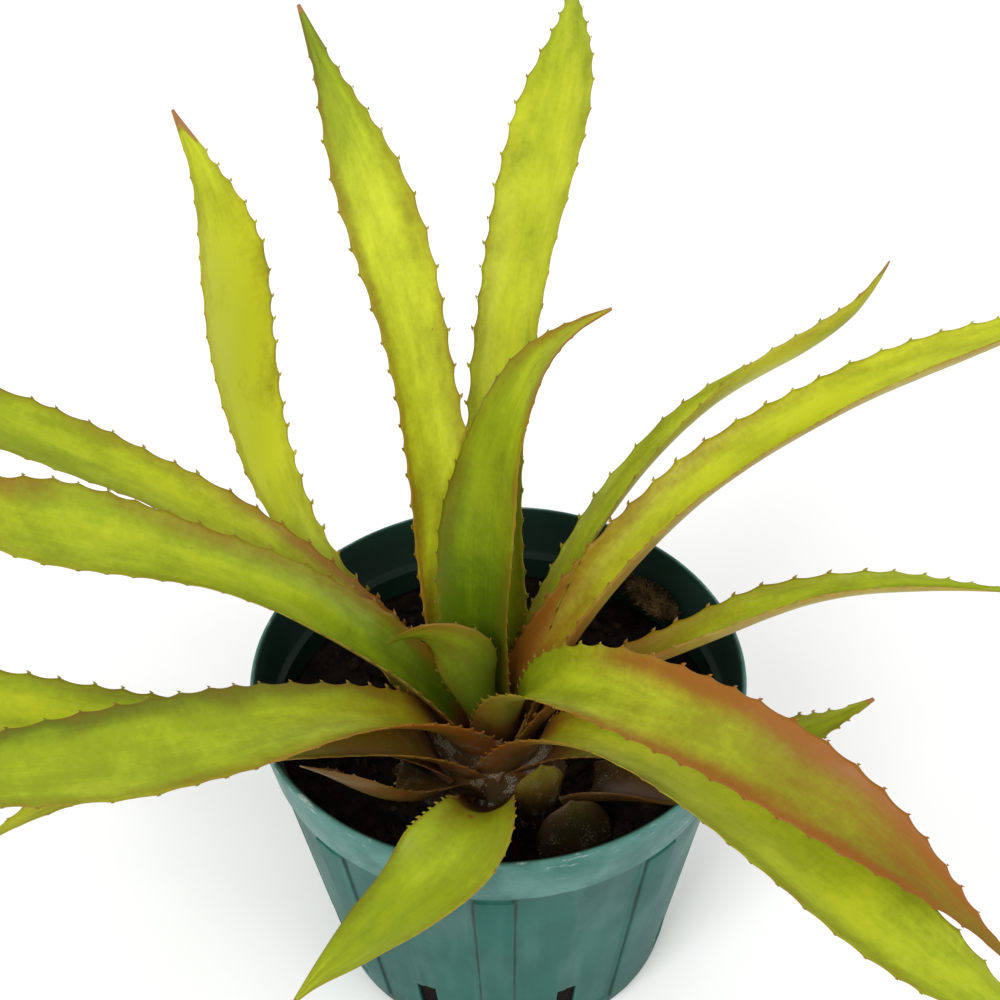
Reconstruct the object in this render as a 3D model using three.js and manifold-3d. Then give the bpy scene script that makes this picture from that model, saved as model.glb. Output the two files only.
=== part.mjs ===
// A potted bromeliad: a rosette of long, channelled, spine-edged leaves on a short stem, growing in
// a six-inch moulded plastic nursery pot. Millimetres, +Z up, origin at the middle of the pot's foot.
// Headings are degrees counter-clockwise from +X seen from above; rises are degrees above level.
import * as THREE from 'three';
import { mergeVertices } from 'three/addons/utils/BufferGeometryUtils.js';
import Module from 'manifold-3d';

const wasm = await Module();
wasm.setup();

// Pot
const POT_HEIGHT = 131;
const RIM_RADIUS = 90;
const FOOT_RADIUS = 64;
const WALL = 2.2;
const BAND_HEIGHT = 24;
const BAND_STEP = 1.2;
const LEDGE_DROP = 19;
const LEDGE_WIDTH = 4.8;
const LEDGE_DEPTH = 6;
const FLOOR_THICKNESS = 2.5;
const FLOOR_FILLET = 2;
const FOOT_RECESS = 2;
const FOOT_RING_WIDTH = 7;
const CENTRE_PAD_RADIUS = 14;
const EDGE = 0.8;
const POT_SIDES = 80;

// Repeats round the pot: one raised rib, one side slot and one floor hole in each unit
const UNITS = 8;
const FIRST_RIB = -92;
const RIB_HALF_ANGLE = 5;
const RIB_PROUD = 0.9;
const RIB_FOOT = 6;
const RIB_ROOT = 0.975;
const SLOT_OFFSET = 21.5;
const SLOT_WIDTH = 6.5;
const SLOT_BOTTOM = 9;
const SLOT_TOP = 29;
const HOLE_RADIUS = 4.5;
const HOLE_CIRCLE = 40;
const CUTTER_DEPTH = 24;

// Potting mix and stem
const MIX_TOP = 103;
const MIX_CROWN = 2;
const MIX_RINGS = 6;
const MIX_SIDES = 28;
const STEM_X = -2;
const STEM_Y = -8;
const STEM_RADIUS = 4.4;
const STEM_TOP = 113;
const STEM_BOTTOM = 72;
const CLEARANCE = 0.45;

// Leaves
const LEAF_SIDES = 12;
const LEAF_STATIONS = 18;
const STEPS_PER_STATION = 5;
const SHEATH_THICKNESS = 1.1;
const TIP_THICKNESS = 0.5;
const TIP_WIDTH = 1.2;
const FIRST_SHEATH_RADIUS = 6;
const SHEATH_SPACING = 1.25;
const FIRST_SHEATH_HEIGHT = 111;
const SHEATH_DROP = 0.3;

const DEGREE = Math.PI / 180;

const pot = new THREE.Group();

function addPiece(name, geometry, look) {
  const mesh = new THREE.Mesh(geometry, new THREE.MeshStandardMaterial(look));
  mesh.name = name;
  pot.add(mesh);
  return mesh;
}

// A closed geometry as a solid that can be cut and joined
function solidOf(geometry) {
  const bare = geometry.clone();
  bare.deleteAttribute('normal');
  bare.deleteAttribute('uv');
  const merged = mergeVertices(bare, 1e-4);
  return new wasm.Manifold(new wasm.Mesh({
    numProp: 3,
    vertProperties: Float32Array.from(merged.attributes.position.array),
    triVerts: Uint32Array.from(merged.index.array),
  }));
}

function geometryOf(solid) {
  const mesh = solid.getMesh();
  const geometry = new THREE.BufferGeometry();
  geometry.setAttribute('position', new THREE.BufferAttribute(mesh.vertProperties, 3));
  geometry.setIndex(new THREE.BufferAttribute(mesh.triVerts, 1));
  return geometry;
}

// A profile of [radius, height] points turned about the upright axis
function turned(profile, sides) {
  const points = profile.map(([radius, height]) => new THREE.Vector2(radius, height));
  const geometry = new THREE.LatheGeometry(points, sides);
  geometry.rotateX(Math.PI / 2);
  return geometry;
}

// The wall tapers evenly from the foot to the rim
function outerRadius(height) {
  return FOOT_RADIUS + (RIM_RADIUS - FOOT_RADIUS) * height / POT_HEIGHT;
}

function potShell() {
  const bandFoot = POT_HEIGHT - BAND_HEIGHT;
  const ledge = POT_HEIGHT - LEDGE_DROP;
  const belowBand = outerRadius(bandFoot) - BAND_STEP;
  const foot = FOOT_RADIUS - BAND_STEP;
  const underside = FOOT_RECESS + FLOOR_THICKNESS;
  const inside = (height) => outerRadius(height) - BAND_STEP - WALL;
  return turned([
    [0, 0],
    [CENTRE_PAD_RADIUS, 0],
    [CENTRE_PAD_RADIUS, FOOT_RECESS],
    [foot - FOOT_RING_WIDTH, FOOT_RECESS],
    [foot - FOOT_RING_WIDTH, 0],
    [foot - EDGE, 0],
    [foot, EDGE],
    [belowBand, bandFoot - BAND_STEP],
    [outerRadius(bandFoot), bandFoot],
    [RIM_RADIUS, POT_HEIGHT - EDGE],
    [RIM_RADIUS - EDGE, POT_HEIGHT],
    [RIM_RADIUS - WALL, POT_HEIGHT],
    [outerRadius(ledge) - WALL, ledge],
    [outerRadius(ledge) - LEDGE_WIDTH, ledge - EDGE],
    [inside(ledge - LEDGE_DEPTH), ledge - LEDGE_DEPTH],
    [inside(underside) - FLOOR_FILLET, underside],
    [0, underside],
  ], POT_SIDES);
}

// A raised vertical strip: an outline across the pot's axis, extruded upwards and narrowing with
// the wall, so that it stands proud of the wall by the same amount all the way down
function rib(angle) {
  const top = POT_HEIGHT - BAND_HEIGHT - BAND_STEP - 0.5;
  const strip = new THREE.Shape();
  strip.absarc(0, 0, 1, -RIB_HALF_ANGLE * DEGREE, RIB_HALF_ANGLE * DEGREE, false);
  strip.absarc(0, 0, RIB_ROOT, RIB_HALF_ANGLE * DEGREE, -RIB_HALF_ANGLE * DEGREE, true);
  const geometry = new THREE.ExtrudeGeometry(strip, {
    depth: top - RIB_FOOT, steps: 1, bevelEnabled: false, curveSegments: 4,
  });
  geometry.translate(0, 0, RIB_FOOT);
  const position = geometry.attributes.position;
  for (let i = 0; i < position.count; i += 1) {
    const reach = outerRadius(position.getZ(i)) - BAND_STEP + RIB_PROUD;
    position.setX(i, position.getX(i) * reach);
    position.setY(i, position.getY(i) * reach);
  }
  geometry.rotateZ(angle * DEGREE);
  return geometry;
}

function slotCutter(angle) {
  const cutter = new THREE.BoxGeometry(CUTTER_DEPTH, SLOT_WIDTH, SLOT_TOP - SLOT_BOTTOM);
  cutter.translate(outerRadius(SLOT_BOTTOM), 0, (SLOT_TOP + SLOT_BOTTOM) / 2);
  cutter.rotateZ(angle * DEGREE);
  return cutter;
}

function holeCutter(angle) {
  const cutter = new THREE.CylinderGeometry(HOLE_RADIUS, HOLE_RADIUS, CUTTER_DEPTH, 16);
  cutter.rotateX(Math.PI / 2);
  cutter.translate(HOLE_CIRCLE, 0, 0);
  cutter.rotateZ(angle * DEGREE);
  return cutter;
}

function nurseryPot() {
  let body = solidOf(potShell());
  for (let unit = 0; unit < UNITS; unit += 1) {
    const angle = FIRST_RIB + unit * 360 / UNITS;
    body = body.add(solidOf(rib(angle)));
    body = body.subtract(solidOf(slotCutter(angle + SLOT_OFFSET)));
    body = body.subtract(solidOf(holeCutter(angle)));
  }
  return geometryOf(body);
}

// The stem tapers down into the mix and ends in a low dome among the sheaths
function stemProfile(grow) {
  return [
    [0, STEM_BOTTOM - grow],
    [STEM_RADIUS * 0.4 + grow, STEM_BOTTOM - grow],
    [STEM_RADIUS * 0.9 + grow, STEM_BOTTOM + 10],
    [STEM_RADIUS + grow, MIX_TOP],
    [STEM_RADIUS * 0.9 + grow, STEM_TOP - 4],
    [STEM_RADIUS * 0.5 + grow, STEM_TOP - 1 + grow],
    [0, STEM_TOP + grow],
  ];
}

function stem(grow) {
  const geometry = turned(stemProfile(grow), 14);
  geometry.translate(STEM_X, STEM_Y, 0);
  return geometry;
}

// The mix fills the pot's tapering inside, and its top is low hummocks
function hummock(x, y) {
  return MIX_CROWN * (Math.sin(x / 11 + 1) * Math.cos(y / 9) + 0.5 * Math.sin((x + y) / 5));
}

function pottingMix() {
  const inner = (height) => outerRadius(height) - BAND_STEP - WALL - CLEARANCE;
  const floor = FOOT_RECESS + FLOOR_THICKNESS + CLEARANCE;
  const profile = [[0, floor], [inner(floor) - FLOOR_FILLET, floor], [inner(MIX_TOP), MIX_TOP]];
  for (let ring = MIX_RINGS - 1; ring >= 0; ring -= 1) {
    profile.push([inner(MIX_TOP) * ring / MIX_RINGS, MIX_TOP]);
  }
  const geometry = turned(profile, MIX_SIDES);
  const position = geometry.attributes.position;
  for (let i = 0; i < position.count; i += 1) {
    const x = position.getX(i);
    const y = position.getY(i);
    if (position.getZ(i) > MIX_TOP - 1 && Math.hypot(x, y) < inner(MIX_TOP) - 1) {
      position.setZ(i, MIX_TOP - MIX_CROWN + hummock(x, y));
    }
  }
  return geometryOf(solidOf(geometry).subtract(solidOf(stem(CLEARANCE))));
}

// A dry tuft of moss lying along the ledge inside the rim: a flattened, lumpy ball
function mossTuft(radius, heading, size) {
  const geometry = new THREE.SphereGeometry(1, 12, 8);
  geometry.rotateX(Math.PI / 2);
  const position = geometry.attributes.position;
  for (let i = 0; i < position.count; i += 1) {
    const x = position.getX(i);
    const y = position.getY(i);
    const z = position.getZ(i);
    const lump = 1 - 0.12 * Math.abs(Math.sin(5 * x + 2) * Math.cos(4 * y) * Math.cos(6 * z));
    position.setXYZ(i, x * lump * size[0], y * lump * size[1], z * lump * size[2]);
  }
  geometry.rotateZ(heading * DEGREE);
  const x = radius * Math.cos(heading * DEGREE);
  const y = radius * Math.sin(heading * DEGREE);
  geometry.translate(x, y, POT_HEIGHT - LEDGE_DROP + CLEARANCE + size[2]);
  return geometry;
}

// A value that runs smoothly along a leaf through evenly spaced figures, base to tip
function along(figures) {
  if (figures.length === 1) {
    return () => figures[0];
  }
  const curve = new THREE.SplineCurve(figures.map((figure, i) => new THREE.Vector2(i, figure)));
  return (part) => curve.getPoint(part).y;
}

// The centre line of a leaf, with the direction, left side and upper face at each station
function leafStations(leaf, radius, height) {
  const heading = along(leaf.heading);
  const rise = along(leaf.rise);
  const roll = along(leaf.roll);
  const attached = (leaf.attached ?? leaf.heading[0]) * DEGREE;
  const reach = leaf.reach ?? radius;
  const point = new THREE.Vector3(
    STEM_X + reach * Math.cos(attached), STEM_Y + reach * Math.sin(attached), height,
  );
  const steps = LEAF_STATIONS * STEPS_PER_STATION;
  const direction = (part) => new THREE.Vector3(
    Math.cos(rise(part) * DEGREE) * Math.cos(heading(part) * DEGREE),
    Math.cos(rise(part) * DEGREE) * Math.sin(heading(part) * DEGREE),
    Math.sin(rise(part) * DEGREE),
  );
  const stations = [];
  for (let step = 0; step <= steps; step += 1) {
    const part = step / steps;
    const forward = direction(part);
    if (step > 0) {
      point.addScaledVector(direction(part - 0.5 / steps), leaf.length / steps);
    }
    if (step % STEPS_PER_STATION === 0) {
      const level = new THREE.Vector3(
        -Math.sin(heading(part) * DEGREE), Math.cos(heading(part) * DEGREE), 0,
      );
      const side = level.applyAxisAngle(forward, roll(part) * DEGREE);
      const face = new THREE.Vector3().crossVectors(forward, side);
      stations.push({ point: point.clone(), side, face });
    }
  }
  return stations;
}

// A leaf is a cylinder whose rings are flattened, curled into a channel and laid along its
// centre line; the cylinder's two caps close the base and the blunt tip
function leafGeometry(leaf, radius, height) {
  const geometry = new THREE.CylinderGeometry(1, 1, 1, LEAF_SIDES, LEAF_STATIONS);
  const stations = leafStations(leaf, radius, height);
  const width = along([...leaf.width, TIP_WIDTH]);
  const channel = along(leaf.channel);
  const position = geometry.attributes.position;
  for (let i = 0; i < position.count; i += 1) {
    const station = Math.round((position.getY(i) + 0.5) * LEAF_STATIONS);
    const part = station / LEAF_STATIONS;
    const { point, side, face } = stations[station];
    const curl = Math.max(channel(part), 1) * DEGREE;
    const curlRadius = Math.max(width(part), TIP_WIDTH) / 2 / curl;
    const angle = -position.getX(i) * curl;
    const thickness = THREE.MathUtils.lerp(SHEATH_THICKNESS, TIP_THICKNESS, part);
    const arm = curlRadius - position.getZ(i) * thickness / 2;
    const across = arm * Math.sin(angle);
    const up = curlRadius - arm * Math.cos(angle);
    const place = point.clone().addScaledVector(side, across).addScaledVector(face, up);
    position.setXYZ(i, place.x, place.y, place.z);
  }
  return geometry;
}

// From the heart of the rosette outwards. heading and rise: the way the leaf points; roll: its
// turn about its own length; width: measured round the channel; channel: half the angle that
// the section curls through
const LEAVES = [
  { name: 'heart_leaf', length: 75, attached: -100, heading: [186, 188, 173, 168, 172],
    rise: [82, 81, 70, 18, -45], roll: [91, 112, 39], width: [14, 17, 24, 21],
    channel: [90, 40, 18] },
  { name: 'centre_leaf', length: 185, attached: 116, heading: [121, 82, 58, 28, 3],
    rise: [81, 83, 76, 61, 25], roll: [-6, -18, 8], width: [23, 30, 36, 26],
    channel: [86, 10, 16] },
  { name: 'upper_front_right_leaf', length: 268, heading: [-62, -52, -41, -39, -42],
    rise: [79, 42, 10, -14, -27], roll: [5, 27, -1], width: [30, 30, 32, 28],
    channel: [88, 26, 14] },
  { name: 'near_left_leaf', length: 249, reach: 10.2, heading: [188, 177, 184, 177, 164],
    rise: [65, 45, 29, 16, 16], roll: [-10, -11, -22], width: [26, 29, 29, 36],
    channel: [58, 22, 11] },
  { name: 'upper_right_leaf', length: 285, heading: [22, 23, 12, 7, 8],
    rise: [69, 50, 32, 20, 7], roll: [3, -3, -12], width: [35, 27, 29, 26],
    channel: [81, 26, 12] },
  { name: 'back_left_leaf', length: 274, reach: 12.4, heading: [124, 109, 117, 132, 135],
    rise: [70, 77, 72, 64, 62], roll: [-3, 2, -26], width: [34, 28, 25, 28],
    channel: [56, 19, 9] },
  { name: 'right_leaf', length: 205, heading: [-12, -7, 2, -4, -5],
    rise: [68, 37, 28, 5, -10], roll: [-3, -7, -3], width: [29, 20, 23, 13],
    channel: [57, 22, 15] },
  { name: 'front_left_leaf', length: 261, reach: 14.9, heading: [228, 219, 210, 190, 173],
    rise: [64, 37, 15, 5, -7], roll: [6, -4, -6], width: [37, 29, 40, 35],
    channel: [62, 26, 13] },
  { name: 'narrow_right_leaf', length: 230, attached: 60, heading: [36, 37, 26, 0, -25],
    rise: [76, 55, 41, 35, 72], roll: [36, 0, -30], width: [15, 12, 17, 20],
    channel: [28, 15, 16] },
  { name: 'back_leaf', length: 291, heading: [89, 83, 74, 75, 90],
    rise: [67, 64, 52, 28, -3], roll: [5, -24, -5], width: [34, 25, 30, 32],
    channel: [47, 31, 15] },
  { name: 'lower_front_right_leaf', length: 275, heading: [-63, -51, -47, -41, -31],
    rise: [68, 33, 4, -12, -18], roll: [6, -9, 11], width: [34, 25, 33, 34],
    channel: [47, 28, 13] },
  { name: 'far_left_leaf', length: 286, heading: [155, 166, 173, 170, 166],
    rise: [58, 42, 29, 20, 12], roll: [3, 1, -6], width: [25, 23, 27, 28],
    channel: [42, 22, 14] },
  { name: 'outer_back_left_leaf', length: 263, attached: 148, reach: 22.3,
    heading: [156, 141, 138, 150, 151],
    rise: [49, 43, 77, 88, 64], roll: [-2, 4, -15], width: [30, 17, 28, 36],
    channel: [39, 25, 19] },
  { name: 'short_right_leaf', length: 131, heading: [-33, -22, -8, 14, 29],
    rise: [50, 21, 8, 8, 8], roll: [-4, -4, 12], width: [28, 20, 18, 16],
    channel: [41, 24, 13] },
  { name: 'lower_left_leaf', length: 202, heading: [224, 210, 200, 199, 202],
    rise: [61, 34, 15, -11, -29], roll: [1, 0, 8], width: [32, 25, 25, 20],
    channel: [45, 25, 15] },
  { name: 'outer_left_leaf', length: 255, heading: [202, 199, 181, 171, 167],
    rise: [50, 18, 14, 7, -5], roll: [-3, -5, 3], width: [33, 27, 30, 28],
    channel: [31, 24, 14] },
  { name: 'old_front_sheath', length: 29, attached: -68, reach: 43.2, heading: [-74, -70, -66],
    rise: [84, 88, 97], roll: [0, 0, 0], width: [15, 17, 18, 19, 19, 13],
    channel: [40, 36, 30] },
  { name: 'old_front_right_leaf', length: 39, attached: -43, reach: 45,
    heading: [-20, -15, -8, 0, 4],
    rise: [38, 14, -2, -6, -4], roll: [-18, -28, -10], width: [33, 33, 27, 14],
    channel: [62, 48, 26] },
  { name: 'old_front_left_leaf', length: 89, attached: -128, heading: [244, 252, 224, 192, 175],
    rise: [56, 31, 45, 38, 21], roll: [-12, 40, 40], width: [34, 25, 11, 18],
    channel: [20, 11, 47] },
  { name: 'hanging_front_leaf', length: 143, attached: -94, reach: 36,
    heading: [-98, -94, -110, -149, -155, -151],
    rise: [43, 53, 10, -24, -33, -41], roll: [0, 5, 2], width: [24, 25, 38, 24],
    channel: [61, 43, 9, 8] },
  { name: 'old_outer_sheath', length: 18, attached: -60.5, reach: 60, heading: [109, 111, 113],
    rise: [62, 64, 66], roll: [184, 182, 180], width: [29, 30, 28, 24, 17], channel: [24, 26, 30] },
];

const GREEN_LEAF = { color: 0xa3b81e, roughness: 0.42, metalness: 0 };
const OLD_LEAF = { color: 0x5a3a1a, roughness: 0.6, metalness: 0 };

addPiece('nursery_pot', nurseryPot(), { color: 0x3f7f70, roughness: 0.5, metalness: 0 });
addPiece('potting_mix', pottingMix(), { color: 0x1a130d, roughness: 0.95, metalness: 0 });
addPiece('stem', stem(0), { color: 0x6b5a34, roughness: 0.7, metalness: 0 });
addPiece('moss_tuft', mossTuft(78, 42, [5.5, 16, 3.5]), { color: 0x6e5a3c, roughness: 1, metalness: 0 });
LEAVES.forEach((leaf, order) => {
  const radius = FIRST_SHEATH_RADIUS + SHEATH_SPACING * order;
  const height = FIRST_SHEATH_HEIGHT - SHEATH_DROP * order;
  const look = leaf.name.startsWith('old') ? OLD_LEAF : GREEN_LEAF;
  addPiece(leaf.name, leafGeometry(leaf, radius, height), look);
});

export default pot;
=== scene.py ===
"""The finished look of a potted bromeliad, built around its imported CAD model.

Lengths are metres and angles are radians, in the part's own frame: +Z is up, -Y is the front.
"""

import logging
import math
import random
from dataclasses import dataclass, field
from enum import Enum

import bmesh
import bpy
from mathutils import Matrix, Vector, noise


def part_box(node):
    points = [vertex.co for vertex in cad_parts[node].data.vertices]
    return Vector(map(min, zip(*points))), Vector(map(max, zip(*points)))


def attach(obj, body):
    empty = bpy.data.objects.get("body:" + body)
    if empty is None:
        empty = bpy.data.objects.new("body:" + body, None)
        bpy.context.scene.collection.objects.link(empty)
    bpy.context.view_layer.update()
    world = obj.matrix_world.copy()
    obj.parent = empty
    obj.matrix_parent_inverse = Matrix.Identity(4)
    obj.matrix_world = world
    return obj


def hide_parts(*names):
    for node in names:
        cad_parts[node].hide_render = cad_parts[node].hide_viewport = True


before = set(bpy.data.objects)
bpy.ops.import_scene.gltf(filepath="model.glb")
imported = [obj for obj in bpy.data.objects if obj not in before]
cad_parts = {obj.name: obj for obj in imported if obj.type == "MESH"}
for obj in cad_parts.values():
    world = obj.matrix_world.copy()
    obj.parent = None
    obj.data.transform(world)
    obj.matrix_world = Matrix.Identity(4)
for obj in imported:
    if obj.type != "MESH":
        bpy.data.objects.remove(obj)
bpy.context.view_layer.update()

log = logging.getLogger("bromeliad")

MM = 0.001
DEGREE = math.pi / 180
BODY = "root"
STEM_AXIS = Vector((-2 * MM, -8 * MM, 0))

Colour = tuple[float, float, float]
Socket = bpy.types.NodeSocket


class Slot(Enum):
    """The record's material slots; the pieces made here don't take them."""

    POT = "pot_plastic"
    MIX = "mix"
    MOSS = "moss"
    LEAF = "leaf"
    OLD_LEAF = "old_leaf"


def ease(low: float, high: float, value: float) -> float:
    """A smooth step from 0 at low to 1 at high.

    Args:
        low: The value that gives 0. It may be the larger of the two.
        high: The value that gives 1.
        value: The value to look up.

    Returns:
        A number from 0 to 1.
    """
    part = min(max((value - low) / (high - low), 0.0), 1.0)
    return part * part * (3 - 2 * part)


def through(figures: list | tuple, part: float) -> float | Vector:
    """A point on the smooth curve through evenly spaced figures.

    Args:
        figures: Numbers or vectors, first to last.
        part: How far along, from 0 to 1.

    Returns:
        The figure there, of the same kind as those given.
    """
    last = len(figures) - 1
    at = min(max(part, 0.0), 1.0) * last
    i = min(int(at), last - 1)
    t = at - i
    a, b = figures[max(i - 1, 0)], figures[i]
    c, d = figures[i + 1], figures[min(i + 2, last)]
    slope_in, slope_out = (c - a) * 0.5, (d - b) * 0.5
    rise = c - b
    return b + slope_in * t + (rise * 3 - slope_in * 2 - slope_out) * t * t + (
        slope_in + slope_out - rise * 2) * t * t * t


def add_piece(name: str, shape: bmesh.types.BMesh, material: bpy.types.Material,
              replaces: tuple[str, ...] = ()) -> bpy.types.Object:
    """Makes a finished piece of a bmesh and sets it riding on the plant's one body.

    Args:
        name: The piece's name.
        shape: Its shape, in place. It is freed.
        material: Its finish.
        replaces: The CAD nodes that it stands for.

    Returns:
        The new object.
    """
    for face in shape.faces:
        face.smooth = True
    mesh = bpy.data.meshes.new(name)
    shape.to_mesh(mesh)
    shape.free()
    mesh.materials.append(material)
    piece = bpy.data.objects.new(name, mesh)
    bpy.context.scene.collection.objects.link(piece)
    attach(piece, BODY)
    if replaces:
        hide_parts(*replaces)
    log.info("%s: %d faces", name, len(mesh.polygons))
    return piece


class Graph:
    """The node graph of one material, ending in one Principled shader."""

    def __init__(self, name: str) -> None:
        """Starts the graph of a new material.

        Args:
            name: The material's name.
        """
        self.material = bpy.data.materials.new(name)
        self.material.use_nodes = True
        self.tree = self.material.node_tree
        self.tree.nodes.clear()
        self.shader = self.tree.nodes.new("ShaderNodeBsdfPrincipled")
        output = self.tree.nodes.new("ShaderNodeOutputMaterial")
        self.tree.links.new(self.shader.outputs[0], output.inputs[0])

    def feed(self, socket: Socket, value: Socket | float | tuple) -> None:
        """Links a socket to another, or sets it to a number or colour.

        Args:
            socket: The socket to fill.
            value: What it takes.
        """
        if isinstance(value, bpy.types.NodeSocket):
            self.tree.links.new(value, socket)
        elif isinstance(value, tuple) and len(socket.default_value) == 4:
            socket.default_value = (*value, 1.0)
        else:
            socket.default_value = value

    def node(self, kind: str, inputs: dict | None = None, **settings) -> bpy.types.Node:
        """Adds a node.

        Args:
            kind: The node's type, without its ShaderNode.
            inputs: What feeds its sockets, by name or number.
            settings: Its other properties.

        Returns:
            The node.
        """
        made = self.tree.nodes.new("ShaderNode" + kind)
        for key, value in settings.items():
            setattr(made, key, value)
        for key, value in (inputs or {}).items():
            self.feed(made.inputs[key], value)
        return made

    def attribute(self, name: str) -> Socket:
        """A number painted on the piece's own points."""
        return self.node("Attribute", attribute_name=name).outputs["Fac"]

    def place(self) -> Socket:
        """The point's place in the object's own coordinates."""
        return self.node("TexCoord").outputs["Object"]

    def scaled(self, vector: Socket, scale: tuple) -> Socket:
        """A vector stretched by a scale along each axis."""
        return self.node("Mapping", {"Vector": vector, "Scale": scale}).outputs["Vector"]

    def noise(self, vector: Socket, scale: float, detail: float = 3.0,
              rough: float = 0.55) -> Socket:
        """Cloudy noise about 0.5.

        Args:
            vector: Where to read it.
            scale: Lumps to the metre.
            detail: Octaves.
            rough: The weight of each finer octave.

        Returns:
            The noise as a number.
        """
        inputs = {"Vector": vector, "Scale": scale, "Detail": detail, "Roughness": rough}
        return self.node("TexNoise", inputs).outputs["Fac"]

    def cells(self, vector: Socket, scale: float) -> bpy.types.Node:
        """A Voronoi node with that many cells to the metre."""
        return self.node("TexVoronoi", {"Vector": vector, "Scale": scale})

    def math(self, operation: str, a: Socket | float, b: Socket | float = 0.0) -> Socket:
        """One sum on two numbers, held between 0 and 1 by the caller's own ramp."""
        return self.node("Math", {0: a, 1: b}, operation=operation).outputs[0]

    def ramp(self, value: Socket, low: float, high: float, to_low: float = 0.0,
             to_high: float = 1.0) -> Socket:
        """A smooth step.

        Args:
            value: The number to read.
            low: The value that gives to_low.
            high: The value that gives to_high.
            to_low: The result at low.
            to_high: The result at high.

        Returns:
            The stepped number.
        """
        inputs = {"Value": value, "From Min": low, "From Max": high, "To Min": to_low,
                  "To Max": to_high}
        return self.node("MapRange", inputs, interpolation_type="SMOOTHSTEP").outputs[0]

    def mix(self, factor: Socket | float, a: Socket | Colour, b: Socket | Colour,
            blend: str = "MIX") -> Socket:
        """Mixes two colours.

        Args:
            factor: How much of b.
            a: The first colour.
            b: The second colour.
            blend: The way that they mix.

        Returns:
            The mixed colour.
        """
        mixer = self.node("Mix", {0: factor, 6: a, 7: b}, data_type="RGBA", blend_type=blend)
        return mixer.outputs[2]

    def bump(self, height: Socket, distance: float, strength: float = 1.0) -> None:
        """Gives the shader a bump of that height in metres."""
        inputs = {"Height": height, "Distance": distance, "Strength": strength}
        made = self.node("Bump", inputs)
        self.feed(self.shader.inputs["Normal"], made.outputs["Normal"])


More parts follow.
